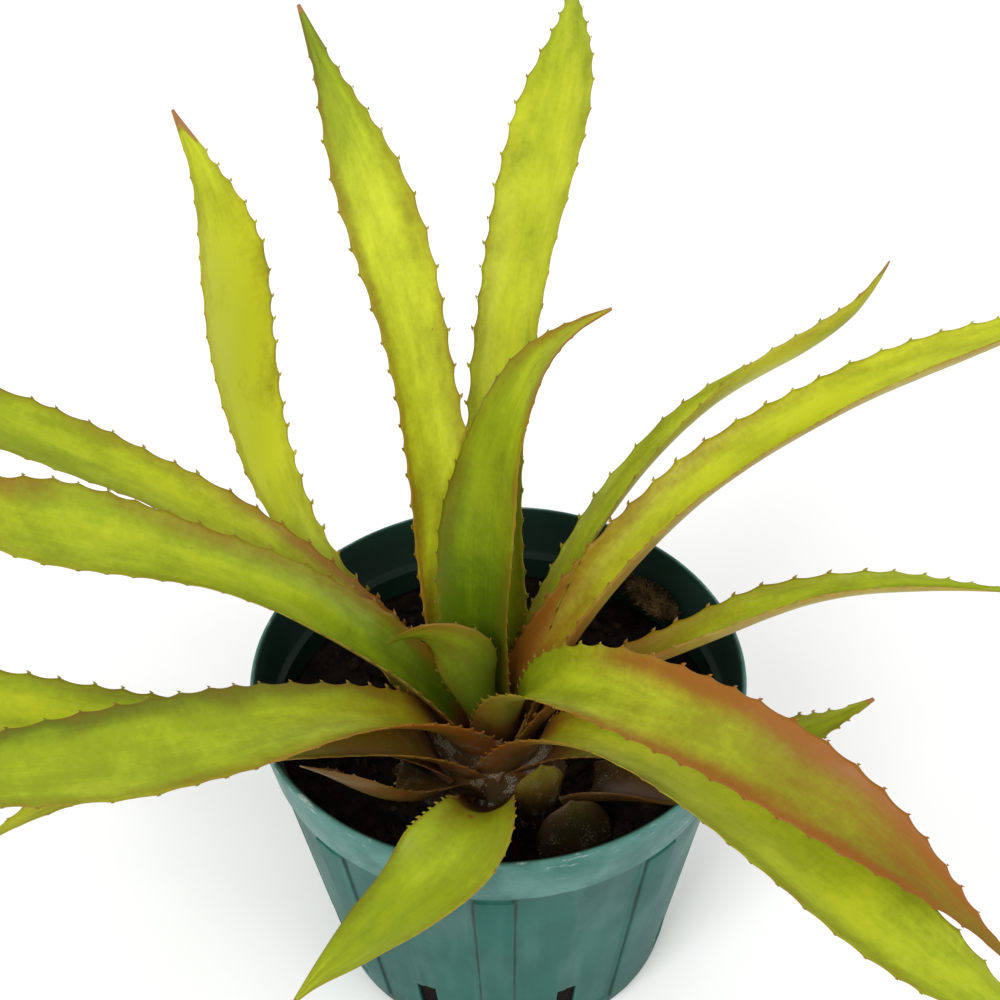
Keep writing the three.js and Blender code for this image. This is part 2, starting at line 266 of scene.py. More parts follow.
@dataclass(frozen=True)
class LeafSkin:
    """Leaf tissue: mottled yellow-green, orange at the margins, brown and scurfy at the foot.

    The blades carry the painted numbers that it reads: across and along are metres on the blade,
    edge is 0 at the middle, 1 at the margins and more on the spines, and the others are amounts.
    """

    name: str
    pale: Colour
    green: Colour
    deep: Colour
    blush: Colour
    brown: Colour
    dark_brown: Colour
    under: Colour
    margin: Colour
    spine: Colour = (0.22, 0.105, 0.026)
    dry: Colour = (0.36, 0.20, 0.09)
    scurf: Colour = (0.40, 0.37, 0.28)
    # painted shade: the colour that the blades are multiplied towards where they run down into the
    # shade just above the mix
    damp: Colour = (0.10, 0.09, 0.08)
    gloss: float = 0.42
    scurf_size: float = 2100.0

    def make(self) -> bpy.types.Material:
        """Builds the material."""
        g = Graph(self.name)
        joined = g.node("CombineXYZ", {0: g.attribute("across"), 1: g.attribute("along")})
        blade = joined.outputs[0]
        veins = g.noise(g.scaled(blade, (1100.0, 12.0, 1.0)), 1.0, 3.0, 0.6)
        streaks = g.noise(g.scaled(blade, (150.0, 26.0, 1.0)), 1.0, 4.0)
        clouds = g.noise(g.scaled(blade, (70.0, 38.0, 1.0)), 1.0, 4.0, 0.6)
        mottle = g.noise(blade, 420.0, 4.0, 0.65)
        edge = g.attribute("edge")

        tone = g.math("ADD", g.math("MULTIPLY", clouds, 0.75), g.math("MULTIPLY", streaks, 0.45))
        tone = g.math("ADD", tone, g.math("MULTIPLY", mottle, 0.22))
        tone = g.math("ADD", tone, g.math("MULTIPLY", veins, 0.16))
        tone = g.math("ADD", g.math("SUBTRACT", tone, 0.79), g.attribute("deep"))
        colour = g.mix(g.math("MULTIPLY", tone, 2.0), self.pale, self.green)
        colour = g.mix(g.ramp(tone, 0.45, 1.1), colour, self.deep)

        under = g.math("MULTIPLY", g.attribute("under"), g.ramp(clouds, 0.3, 0.7, 0.75, 1.0))
        colour = g.mix(under, colour, self.under)

        wander = g.math("ADD", g.math("MULTIPLY", clouds, 0.6), g.math("MULTIPLY", mottle, 0.4))
        blotch = g.math("ADD", g.math("MULTIPLY", wander, 0.9), g.math("MULTIPLY", streaks, 0.5))
        blush = g.math("ADD", g.attribute("blush"), blotch)
        colour = g.mix(g.ramp(blush, 0.68, 1.75, 0.0, 0.95), colour, self.blush)

        brown = g.math("ADD", g.attribute("brown"), g.math("MULTIPLY", wander, 0.5))
        rust = g.mix(g.ramp(wander, 0.40, 0.62), self.brown, self.dark_brown)
        colour = g.mix(g.ramp(brown, 0.3, 1.0), colour, rust)

        rim = g.math("MULTIPLY", g.ramp(edge, 0.93, 1.0), g.ramp(mottle, 0.35, 0.6, 0.05, 0.5))
        colour = g.mix(rim, colour, self.margin)

        dry = g.math("ADD", g.attribute("dry"), g.math("MULTIPLY", wander, 0.4))
        parched = g.ramp(dry, 0.60, 0.75)
        husk = g.mix(g.ramp(veins, 0.35, 0.65), self.dry, self.brown)
        colour = g.mix(parched, colour, husk)
        scorch = g.math("MULTIPLY", g.ramp(dry, 0.50, 0.60), g.ramp(dry, 0.70, 0.62))
        colour = g.mix(g.math("MULTIPLY", scorch, 0.7), colour, self.margin)

        dots = g.cells(blade, 150.0)
        rare = g.ramp(dots.outputs["Color"], 0.80, 0.82)
        dot = g.math("MULTIPLY", g.ramp(dots.outputs["Distance"], 0.09, 0.04, 0.0, 0.6), rare)
        colour = g.mix(dot, colour, self.margin)

        # Painted shade: darkens the blades where they run down into the shade just above the mix.
        colour = g.mix(g.attribute("damp"), colour, self.damp, "MULTIPLY")
        flakes = g.noise(g.scaled(blade, (1.0, 0.7, 1.0)), self.scurf_size, 4.0, 0.7)
        drifts = g.noise(blade, 160.0, 3.0)
        scurf = g.math("MULTIPLY", g.attribute("scurf"), g.ramp(drifts, 0.44, 0.62, 0.10, 1.0))
        flaked = g.ramp(g.math("ADD", flakes, g.math("MULTIPLY", scurf, 0.19)), 0.64, 0.73)
        colour = g.mix(g.math("MULTIPLY", flaked, 0.6), colour, self.scurf)

        colour = g.mix(g.ramp(edge, 1.08, 1.30), colour, self.spine)
        g.feed(g.shader.inputs["Base Color"], colour)

        rough = g.ramp(clouds, 0.3, 0.7, self.gloss - 0.06, self.gloss + 0.10)
        rough = g.math("ADD", rough, g.math("MULTIPLY", g.math("ADD", flaked, parched), 0.35))
        g.feed(g.shader.inputs["Roughness"], rough)
        g.shader.inputs["Specular IOR Level"].default_value = 0.2
        g.shader.inputs["Subsurface Weight"].default_value = 0.10
        g.shader.inputs["Subsurface Radius"].default_value = (1.0, 0.8, 0.15)
        g.shader.inputs["Subsurface Scale"].default_value = 1.5 * MM

        relief = g.math("ADD", g.math("MULTIPLY", veins, 0.6), g.math("MULTIPLY", mottle, 0.4))
        relief = g.math("ADD", relief, g.math("MULTIPLY", flaked, 0.9))
        g.bump(relief, 0.14 * MM, 0.55)
        return g.material


@dataclass
class Section:
    """One cross-section of a leaf: a shallow arc about its middle."""

    middle: Vector
    side: Vector
    face: Vector
    width: float
    curl: float


class LeafFrame:
    """The lie of a CAD leaf, read from the rings of its solid.

    The solid is a run of rings with a point at the middle of its blunt tip. The rings are the
    layers of points met on the way down from that point, and the two points of a ring that lie
    farthest apart, half the ring from each other, are its margins.
    """

    RING = 12

    def __init__(self, node: str) -> None:
        """Reads the sections of a CAD leaf, foot first.

        Args:
            node: The leaf's CAD node.
        """
        shape = bmesh.new()
        shape.from_mesh(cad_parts[node].data)
        bmesh.ops.remove_doubles(shape, verts=shape.verts, dist=1e-6)
        shape.verts.index_update()
        hubs = [v for v in shape.verts if len(v.link_edges) == self.RING]
        tip = max(hubs, key=lambda v: (v.co - STEM_AXIS).xy.length)
        chords = [self.chord(ring) for ring in self.rings(tip)]
        shape.free()
        self.sections = self.arcs(chords[::-1])
        middles = [s.middle for s in self.sections]
        self.length = sum((b - a).length for a, b in zip(middles, middles[1:]))
        self.middles = middles
        self.sides = [s.side for s in self.sections]
        self.faces = [s.face for s in self.sections]
        self.widths = [s.width for s in self.sections]
        self.curls = [s.curl for s in self.sections]

    def rings(self, tip: bmesh.types.BMVert) -> list[list[bmesh.types.BMVert]]:
        """The rings of the solid, each in order round the leaf.

        Args:
            tip: The point at the middle of the leaf's tip.

        Returns:
            The rings, tip first.
        """
        met = {tip}
        before = {tip}
        found = []
        while True:
            layer = {e.other_vert(v) for v in before for e in v.link_edges} - met
            if len(layer) < self.RING:
                return found
            met |= layer
            ring = [min(layer, key=lambda v: v.index)]
            while len(ring) < self.RING:
                beside = {v for f in ring[-1].link_faces if before & set(f.verts) for v in f.verts}
                ring.append(min((beside & layer) - set(ring), key=lambda v: v.index))
            found.append(ring)
            before = layer

    def chord(self, ring: list[bmesh.types.BMVert]) -> tuple[Vector, Vector, Vector]:
        """One margin, the middle and the other margin of a ring.

        Args:
            ring: The ring's points in order.

        Returns:
            The three places.
        """
        half = self.RING // 2
        start = max(range(half), key=lambda i: (ring[i].co - ring[i + half].co).length)
        quarter = half // 2
        upper = ring[start + quarter].co
        lower = ring[(start + half + quarter) % self.RING].co
        return ring[start].co.copy(), (upper + lower) / 2, ring[start + half].co.copy()

    def arcs(self, chords: list[tuple[Vector, Vector, Vector]]) -> list[Section]:
        """Turns margin, middle and margin into arcs whose side points to the leaf's left.

        Args:
            chords: The three places of each ring, foot first.

        Returns:
            The sections.
        """
        sections = []
        for i, (one, middle, other) in enumerate(chords):
            ahead = chords[min(i + 1, len(chords) - 1)][1] - chords[max(i - 1, 0)][1]
            sag = (one + other) / 2 - middle
            side = (one - other).normalized()
            if side.dot(sag.cross(ahead)) < 0:
                side = -side
            curl = 2 * math.atan2(2 * sag.length, (one - other).length)
            radius = (one - other).length / 2 / math.sin(curl)
            sections.append(Section(middle, side, sag.normalized(), 2 * radius * curl, curl))
        return sections

    def at(self, part: float) -> Section:
        """The section at a part of the leaf's length.

        Args:
            part: How far along the leaf, from 0 to 1.

        Returns:
            The section there.
        """
        side = through(self.sides, part).normalized()
        face = through(self.faces, part)
        face = (face - side * face.dot(side)).normalized()
        return Section(through(self.middles, part), side, face,
                       through(self.widths, part), through(self.curls, part))


class Margin:
    """One margin of a leaf: spines at the tips of shallow scallops."""

    def __init__(self, length: float, rng: random.Random, first: float, last: float,
                 pitch: float) -> None:
        """Spaces the spines.

        Args:
            length: The leaf's length.
            rng: The source of its small irregularities.
            first: Where the spines start, as a part of the length.
            last: Where they end.
            pitch: The widest gap between two spines, in the middle of the leaf.
        """
        self.spines = []
        part = first + rng.uniform(0, 0.01)
        while part < last:
            self.spines.append(part)
            crowding = 0.5 + 0.5 * ease(0.0, 0.35, part) - 0.3 * ease(0.7, 1.0, part)
            part += pitch * crowding * rng.uniform(0.75, 1.25) / length

    def dip(self, part: float) -> float:
        """How far the margin has drawn in between its spines.

        Args:
            part: How far along the leaf, from 0 to 1.

        Returns:
            The depth of the scallop there, from 0 at a spine to 1 halfway between two.
        """
        for a, b in zip(self.spines, self.spines[1:]):
            if a <= part <= b:
                return max(math.sin(math.pi * (part - a) / (b - a)), 0.0) ** 0.8
        return 0.0


@dataclass(frozen=True)
class Patch:
    """A soft-edged mark on a blade, at across (-1 to 1, left is +) and along (0 to 1)."""

    across: float
    along: float
    wide: float
    long: float
    amount: float

    def at(self, across: float, along: float) -> float:
        """How strong the mark is at a place.

        Args:
            across: From -1 at the right margin to 1 at the left.
            along: How far along the leaf, from 0 to 1.

        Returns:
            The amount, which fades smoothly with distance.
        """
        x = (across - self.across) / self.wide
        y = (along - self.along) / self.long
        return self.amount * math.exp(-x * x - y * y)


@dataclass
class Leaf:
    """One leaf: a channelled blade with scalloped margins and hooked spines.

    deep, flush, left and right run from foot to tip: how deep the green is, and how much orange
    there is in the middle, at the left margin and at the right one. shade deepens the green at
    the two margins, and under_deep at the foot of the lower face. cup and turn fold the channel
    further and roll it. flare and spread carry the foot outwards and widen it into a sheath on
    its way down to the mix.
    """

    node: str
    deep: tuple[float, ...] = (0.6, 0.4, 0.35, 0.35, 0.4)
    flush: tuple[float, ...] = (0.8, 0.2, 0.0, 0.0, 0.1)
    left: tuple[float, ...] = (0.4, 0.35, 0.3, 0.3, 0.3)
    right: tuple[float, ...] = (0.4, 0.35, 0.3, 0.3, 0.3)
    shade: tuple[float, float] = (0.12, 0.12)
    brown_to: float = 0.08
    sheath_to: float = 0.22
    scurf: float = 0.4
    scurf_to: float = 0.14
    dry_tip: float = 0.03
    # how far above the mix the painted shade on the foot reaches
    shade_near_mix_to: float = 15 * MM
    under: float = 0.55
    under_deep: float = 0.0
    keel: float = 1.2 * MM
    cup: float = 0.0
    turn: float = 0.0
    flare: float = 0.0
    spread: float = 0.0
    pitch: float = 11 * MM
    scallop: float = 1.1 * MM
    spine: float = 1.25 * MM
    spine_span: tuple[float, float] = (0.04, 0.96)
    thickness: float = 1.2 * MM
    ripple: float = 0.5 * MM
    foot: float = 0.045
    blushes: tuple[Patch, ...] = ()
    dries: tuple[Patch, ...] = ()
    old: bool = False

    CELLS_ACROSS = 18
    CELLS_ALONG = 190
    LAYERS = ("across", "along", "edge", "blush", "brown", "scurf", "dry", "deep", "under",
              "damp")

    def build(self, order: int, skin: bpy.types.Material, thorn: bpy.types.Mesh) -> None:
        """Makes the leaf and sets it in place of its CAD solid.

        Args:
            order: Its place from the heart outwards, which seeds its irregularities.
            skin: Its material.
            thorn: The shape of one spine, a metre high.
        """
        self.order = order
        self.lie = LeafFrame(self.node)
        self.sections: dict[float, Section] = {}
        self.mix_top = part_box("potting_mix")[1].z
        rng = random.Random(100 + order)
        first, last = self.spine_span
        self.margins = {sign: Margin(self.lie.length, rng, first, last, self.pitch)
                        for sign in (1, -1)}
        shape = self.blade()
        self.add_spines(shape, thorn, rng)
        add_piece(self.node + "_blade", shape, skin, (self.node,))

    def section(self, part: float) -> Section:
        """The section at a part of the length, worked out once for each."""
        if part not in self.sections:
            self.sections[part] = self.folded(part) if part >= 0 else self.rooted(part)
        return self.sections[part]

    def folded(self, part: float) -> Section:
        """The CAD leaf's section, with this leaf's own fold and roll.

        Args:
            part: How far along the leaf, from 0 to 1.

        Returns:
            The section there, on the CAD leaf's chord.
        """
        at = self.lie.at(part)
        fade = ease(0.02, 0.2, part) * ease(1.0, 0.85, part)
        curl = at.curl + self.cup * fade
        chord = at.width / at.curl * math.sin(at.curl)
        radius = chord / 2 / math.sin(curl)
        deeper = radius * (1 - math.cos(curl)) - chord / 2 * math.tan(at.curl / 2)
        angle = self.turn * fade
        side = at.side * math.cos(angle) + at.face * math.sin(angle)
        face = at.face * math.cos(angle) - at.side * math.sin(angle)
        return Section(at.middle - at.face * deeper * 0.6, side, face, 2 * radius * curl, curl)

    def rooted(self, part: float) -> Section:
        """The section of the foot, where it runs in to the stem or down to the mix.

        Args:
            part: How far before the CAD leaf's start, as a part of the length below 0.

        Returns:
            The section there.
        """
        base = self.lie.at(0.0)
        down = -part / self.foot
        outward = (base.middle - STEM_AXIS) * Vector((1, 1, 0))
        reach = max(outward.length - 5.5 * MM, 0.0)
        drop = base.middle.z - self.mix_top + 2.5 * MM
        away = self.flare * down if self.flare else -reach * 0.35 * down ** 1.5
        shift = outward.normalized() * away - Vector((0, 0, drop * down ** 1.2))
        grown = 1 + self.spread * math.sin(down * math.pi / 2)
        return Section(base.middle + shift, base.side, base.face, base.width * grown, base.curl)

    def point(self, across: float, part: float, level: float) -> Vector:
        """A point of the blade.

        Args:
            across: From -1 at the right margin to 1 at the left.
            part: How far along the leaf, from 0 to 1.
            level: From -1 on the lower face to 1 on the upper.

        Returns:
            The point's place.
        """
        at = self.section(part)
        margin = self.margins[1 if across > 0 else -1]
        fade = 1 - ease(0.9, 1.0, part)
        trim = self.scallop * margin.dip(part) * abs(across) ** 7 * fade
        radius = at.width / 2 / at.curl
        angle = at.curl * across - math.copysign(trim, across) / radius
        thin = (1 - 0.65 * across * across) * (1 - 0.5 * part) * self.thickness / 2
        arm = radius - level * thin
        lump = Vector((across * 1.3, part * self.lie.length * 30, self.order * 7.3))
        lift = self.ripple * noise.noise(lump) * ease(0.0, 0.2, part) * ease(1.0, 0.85, part)
        edge_wave = Vector((across * 0.5, part * self.lie.length * 55, 40 + self.order * 3.1))
        lift += 1.2 * self.ripple * noise.noise(edge_wave) * abs(across) ** 3 * ease(0.0, 0.2, part)
        keel = self.keel * (1 - across * across) * ease(0.05, 0.3, part) * ease(1.0, 0.75, part)
        up = radius - arm * math.cos(angle) + lift - keel
        return at.middle + at.side * arm * math.sin(angle) + at.face * up

    def paint(self, vert: bmesh.types.BMVert, layers: dict, across: float, part: float,
              level: float) -> None:
        """Writes on a point the numbers that its skin reads.

        Args:
            vert: The point.
            layers: The bmesh's layers by name.
            across: As for point.
            part: As for point.
            level: As for point.
        """
        hug = ease(0.33, 1.0, abs(across))
        left = across > 0
        blush = through(self.left if left else self.right, part) * hug
        blush += through(self.flush, part) * (1 - 0.5 * hug)
        blush += sum(patch.at(across, part) for patch in self.blushes)
        dry = 0.8 * ease(1 - self.dry_tip, 1.0, part)
        dry += sum(patch.at(across, part) for patch in self.dries)
        deep = through(self.deep, part) + self.shade[0 if left else 1] * hug
        below = level < 0
        if below:
            deep += self.under_deep * ease(0.40, 0.10, part)
        values = {
            "across": across * 15 * MM,
            "along": part * self.lie.length + self.order,
            "edge": abs(across),
            "blush": blush,
            "brown": ease(self.sheath_to if below else self.brown_to, 0.0, part),
            "scurf": self.scurf * ease(self.scurf_to, 0.0, part),
            "dry": dry,
            "deep": deep,
            "under": self.under if below else 0.0,
            # painted shade, strongest just above the mix and fading out between 70 and 80 mm from
            # the axis
            "damp": 0.9 * ease(self.mix_top + self.shade_near_mix_to, self.mix_top - 2 * MM, vert.co.z)
            * ease(0.080, 0.070, vert.co.xy.length),
        }
        for name, value in values.items():
            vert[layers[name]] = value

    def blade(self) -> bmesh.types.BMesh:
        """Lays a thin flat slab along the leaf and curls it into its channel."""
        shape = bmesh.new()
        layers = {name: shape.verts.layers.float.new(name) for name in self.LAYERS}
        bmesh.ops.create_grid(shape, x_segments=self.CELLS_ACROSS, y_segments=self.CELLS_ALONG,
                              size=1.0)
        bmesh.ops.solidify(shape, geom=shape.faces[:], thickness=0.5)
        tops = max(v.co.z for v in shape.verts)
        lows = min(v.co.z for v in shape.verts)
        for vert in shape.verts:
            across = vert.co.x
            part = (vert.co.y + 1) / 2 * (1 + self.foot) - self.foot
            level = 2 * (vert.co.z - lows) / (tops - lows) - 1
            vert.co = self.point(across, part, level)
            self.paint(vert, layers, across, part, level)
        bmesh.ops.recalc_face_normals(shape, faces=shape.faces[:])
        return shape

    def add_spines(self, shape: bmesh.types.BMesh, thorn: bpy.types.Mesh,
                   rng: random.Random) -> None:
        """Sets a small hooked spine at every scallop's tip.

        Args:
            shape: The blade, which the spines join.
            thorn: The shape of one spine, a metre high.
            rng: The source of their small differences.
        """
        layers = {name: shape.verts.layers.float[name] for name in self.LAYERS}
        for sign, margin in self.margins.items():
            for part in margin.spines:
                at = self.section(part)
                root = self.point(sign, part, 0)
                inner = self.point(sign * 0.9, part, 0)
                ahead = (self.point(sign, min(part + 0.01, 1.0), 0) - root).normalized()
                out = root - inner
                out = (out - ahead * out.dot(ahead)).normalized()
                size = self.spine * (1.25 - 0.6 * part) * rng.uniform(0.75, 1.2)
                size *= ease(0.0, 12 * MM, at.width)
                turned = Matrix((ahead, ahead.cross(out), out)).transposed().to_4x4()
                seat = Matrix.Translation(root - out * size * 0.15) @ turned
                seat = seat @ Matrix.Scale(size, 4)
                count = len(shape.verts)
                shape.from_mesh(thorn)
                shape.verts.ensure_lookup_table()
                for vert in shape.verts[count:]:
                    height = vert.co.z
                    vert.co = seat @ vert.co
                    self.paint(vert, layers, sign, part, 1)
                    vert[layers["edge"]] = 0.95 + 0.4 * height


def spine_shape() -> bpy.types.Mesh:
    """One hooked spine, a metre high and pointing along +Z, that bends towards +X."""
    shape = bmesh.new()
    bmesh.ops.create_cone(shape, cap_ends=True, segments=6, radius1=0.70, radius2=0.04, depth=1.0)
    sides = [e for e in shape.edges if abs(e.verts[0].co.z - e.verts[1].co.z) > 0.5]
    bmesh.ops.subdivide_edges(shape, edges=sides, cuts=2)
    for vert in shape.verts:
        height = vert.co.z + 0.5
        slim = (1 - height) ** 0.6 / max(1 - height, 0.05) if height < 0.95 else 1.0
        vert.co = Vector((vert.co.x * slim * 0.9 + 0.7 * height ** 1.5, vert.co.y * 0.32, height))
    mesh = bpy.data.meshes.new("thorn")
    shape.to_mesh(mesh)
    shape.free()
    return mesh


YOUNG_SKIN = LeafSkin(
    name="leaf_skin", pale=(0.52, 0.56, 0.020), green=(0.240, 0.310, 0.006),
    deep=(0.072, 0.125, 0.002), blush=(0.245, 0.078, 0.006), brown=(0.25, 0.082, 0.016),
    dark_brown=(0.115, 0.085, 0.012), under=(0.34, 0.23, 0.055), margin=(0.24, 0.110, 0.020),
)
OLD_SKIN = LeafSkin(
    name="old_leaf_skin", pale=(0.14, 0.13, 0.012), green=(0.075, 0.066, 0.007),
    deep=(0.034, 0.031, 0.005), blush=(0.15, 0.036, 0.007), brown=(0.085, 0.038, 0.009),
    dark_brown=(0.036, 0.028, 0.006), under=(0.075, 0.035, 0.010),
    margin=(0.11, 0.045, 0.014), gloss=0.38,
)

LEAVES = (
    Leaf("heart_leaf", deep=(1.1, 1.1, 1.0, 0.85, 0.7), flush=(0.1, 0, 0.05, 0.25, 0.1),
         left=(0.3, 0.2, 0.3, 0.4, 0.3), right=(0.2, 0.2, 0.3, 0.4, 0.3), keel=0, brown_to=0.06,
         sheath_to=0.1, scurf=0.3, dry_tip=0.02, under=0.1, pitch=6 * MM, spine=1.1 * MM,
         scallop=0.3 * MM, ripple=0.3 * MM, foot=0.09),
    Leaf("centre_leaf", deep=(1.2, 1.05, 0.66, 0.45, 0.35), flush=(0.1, 0, 0, 0.05, 0.5),
         left=(0.3, 0.25, 0.3, 0.35, 0.8), right=(0.4, 0.4, 0.4, 0.7, 0.8), shade=(0.2, 0.1),
         under=0.3, dry_tip=0.02, scurf=0.2, pitch=9 * MM, spine=1.0 * MM, scallop=0.6 * MM),
    Leaf("upper_front_right_leaf", deep=(0.7, 0.36, 0.46, 0.75, 1.0),
         flush=(0.3, 0.05, 0.3, 0.35, 0.5), left=(0.1, 0.15, 0.85, 0.85, 0.55),
         right=(0.6, 0.4, 0.8, 0.8, 0.6), keel=2 * MM, sheath_to=0.12,
         blushes=(Patch(0.65, 0.42, 0.35, 0.14, 0.35), Patch(0.3, 0.8, 0.8, 0.16, 0.3))),
    Leaf("near_left_leaf", deep=(1.15, 0.72, 0.38, 0.42, 0.35), flush=(0.2, 0.0, 0.0, 0.0, 0.4),
         left=(0.5, 0.25, 0.3, 0.3, 0.5), right=(0.6, 0.5, 0.5, 0.4, 0.6), shade=(0.1, 0.3),
         keel=2.5 * MM, cup=0.15, turn=0.10,
         blushes=(Patch(0.5, 0.95, 0.8, 0.10, 0.65), Patch(-0.6, 0.9, 0.5, 0.1, 0.4))),
    Leaf("upper_right_leaf", deep=(0.3, 0.1, 0.08, 0.1, 0.25), flush=(1.2, 0.28, 0.0, 0.0, 0.0),
         left=(0.9, 0.6, 0.4, 0.2, 0.2), right=(0.7, 0.4, 0.3, 0.25, 0.3), shade=(0.05, 0.25),
         keel=3 * MM, cup=0.22, turn=-0.16, sheath_to=0.3, under=0.8),
    Leaf("back_left_leaf", deep=(0.3, 0.2, 0.22, 0.22, 0.85), flush=(0.35, 0.2, 0.12, 0.05, 0.1),
         left=(0.6, 0.6, 0.5, 0.45, 0.4), right=(0.5, 0.5, 0.4, 0.35, 0.3), shade=(0.3, 0.15)),
    Leaf("right_leaf", deep=(0.9, 0.65, 0.40, 0.36, 0.5), flush=(1.0, 0.7, 0.2, 0.0, 0.0),
         left=(0.5, 0.4, 0.3, 0.2, 0.2), right=(0.7, 0.5, 0.25, 0.2, 0.2), keel=3 * MM,
         cup=0.25, turn=-0.22, under=0.8, sheath_to=0.35, spine=1.5 * MM),
    Leaf("front_left_leaf", deep=(0.7, 0.46, 0.44, 0.5, 0.6), flush=(0.9, 0.35, 0.05, 0.0, 0.0),
         left=(1.0, 0.7, 0.5, 0.35, 0.4), right=(0.4, 0.3, 0.3, 0.3, 0.3), shade=(0.1, 0.6),
         brown_to=0.14, sheath_to=0.16, scurf=1.15, scurf_to=0.22, under=0.15, under_deep=1.3,
         flare=13 * MM, spread=0.2, foot=0.07),
    Leaf("narrow_right_leaf", deep=(0.7, 0.5, 0.35, 0.15, 0.3), flush=(0.4, 0.2, 0.1, 0.0, 0.2),
         left=(0.3, 0.3, 0.2, 0.2, 0.3), right=(0.3, 0.3, 0.2, 0.2, 0.3), keel=1 * MM, cup=0.55,
         turn=-0.45, under=0.4, dry_tip=0.05, scallop=0.7 * MM,
         dries=(Patch(-0.9, 0.92, 0.25, 0.04, 0.4),)),
    Leaf("back_leaf", deep=(0.6, 0.48, 0.16, 0.24, 0.38), flush=(0.3, 0.05, 0.0, 0.0, 0.0),
         left=(0.3, 0.3, 0.3, 0.2, 0.2), right=(0.3, 0.25, 0.25, 0.2, 0.2), shade=(0.1, 0.1)),
    Leaf("lower_front_right_leaf", deep=(0.5, 0.14, 0.3, 0.34, 0.48),
         flush=(1.0, 0.1, 0.0, 0.0, 0.0), left=(0.4, 0.3, 0.2, 0.2, 0.3),
         right=(0.7, 0.45, 0.3, 0.3, 0.3), shade=(0.1, 0.25), keel=2 * MM, brown_to=0.12,
         sheath_to=0.2, scurf=1.0, scurf_to=0.18, under_deep=0.8, flare=15 * MM, spread=0.2,
         foot=0.07, blushes=(Patch(0.1, 0.10, 0.9, 0.06, 0.4),)),
    Leaf("far_left_leaf", deep=(0.6, 0.40, 0.34, 0.55, 0.6), flush=(0.6, 0.3, 0.05, 0.0, 0.0),
         left=(0.3, 0.3, 0.2, 0.2, 0.2), right=(0.9, 0.7, 0.45, 0.35, 0.3), keel=2 * MM,
         sheath_to=0.3),
    Leaf("outer_back_left_leaf", deep=(0.5, 0.3, -0.05, -0.05, 0.3),
         flush=(0.3, 0.0, 0.0, 0.0, 0.1), dry_tip=0.06,
         dries=(Patch(-0.8, 0.965, 0.4, 0.03, 0.5),)),
    Leaf("short_right_leaf", deep=(0.9, 0.8, 0.7, 0.6, 0.65), flush=(0.5, 0.3, 0.2, 0.15, 0.3),
         dry_tip=0.05, pitch=7 * MM, brown_to=0.2, sheath_to=0.4),
    Leaf("lower_left_leaf", deep=(1.3, 1.1, 0.5, 0.3, 0.3), flush=(0.6, 0.6, 0.4, 0.2, 0.3),
         brown_to=0.14, sheath_to=0.2, under=0.2, under_deep=1.3, scurf=0.9, scurf_to=0.4,
         flare=13 * MM, spread=0.2, foot=0.08, keel=2 * MM),
    Leaf("outer_left_leaf", deep=(1.2, 0.9, 0.36, 0.25, 0.3), flush=(0.5, 0.25, 0.0, 0.0, 0.2),
         shade=(0.1, 0.45), brown_to=0.12, sheath_to=0.2, under=0.2, under_deep=1.2, scurf=0.5,
         scurf_to=0.25, dry_tip=0.05, flare=6 * MM, spread=0.1),
    Leaf("old_front_sheath", old=True, deep=(0.9, 0.8, 0.5, 0.1, -0.2), flush=(0.3, 0.3, 0.2),
         brown_to=0.8, sheath_to=0.75, scurf=0.75, scurf_to=2.4, dry_tip=0.02, under=0.0,
         shade_near_mix_to=22 * MM, keel=0, pitch=30 * MM, spine=0.5 * MM, scallop=0, ripple=0.9 * MM,
         foot=0.25, flare=2 * MM),
    Leaf("old_front_right_leaf", old=True, deep=(0.9, 0.7, 0.3, 0.0, -0.5),
         flush=(0.5, 0.5, 0.7, 0.5, 0.0), brown_to=0.7, sheath_to=0.9, scurf=0.5, scurf_to=1.2,
         under=0.2, keel=0, pitch=40 * MM, spine=0.4 * MM, scallop=0, ripple=0.7 * MM,
         foot=0.15, flare=4 * MM),
    Leaf("old_front_left_leaf", old=True, deep=(0.6, 0.4, 0.5, 0.6, 0.6),
         flush=(0.2, 0.2, 0.4, 0.3, 0.3), brown_to=0.5, sheath_to=0.7, scurf=0.7, scurf_to=1.0,
         under=0.2, dry_tip=0.05, pitch=6 * MM, spine=1.0 * MM, scallop=0.4 * MM,
         ripple=1.0 * MM, foot=0.12, flare=9 * MM, spread=0.2),
    Leaf("hanging_front_leaf", deep=(0.7, 0.6, 0.5, 0.6, 0.4), flush=(1.0, 0.42, 0.05, 0.0, 0.25),
         left=(0.5, 0.3, 0.3, 0.2, 0.2), right=(0.4, 0.2, 0.2, 0.2, 0.3), shade=(0.05, 0.15),
         keel=1.5 * MM, brown_to=0.14, sheath_to=0.25, scurf=0.3, pitch=4.5 * MM, foot=0.12,
         scallop=0.4 * MM, spine_span=(0.04, 0.5), spine=1.25 * MM,
         blushes=(Patch(0.0, 0.14, 0.5, 0.05, 0.5), Patch(-0.2, 0.30, 0.06, 0.01, 1.6))),
    Leaf("old_outer_sheath", old=True, deep=(1.0, 1.0, 0.9, 0.7, 0.4), flush=(0.1, 0.1, 0.2),
         brown_to=0.5, sheath_to=0.5, scurf=0.5, scurf_to=2.0, dry_tip=0.02, under=0.0, keel=0,
         shade_near_mix_to=34 * MM, pitch=30 * MM, spine=0.4 * MM, scallop=0, ripple=0.7 * MM, foot=0.2,
         flare=2 * MM),
)


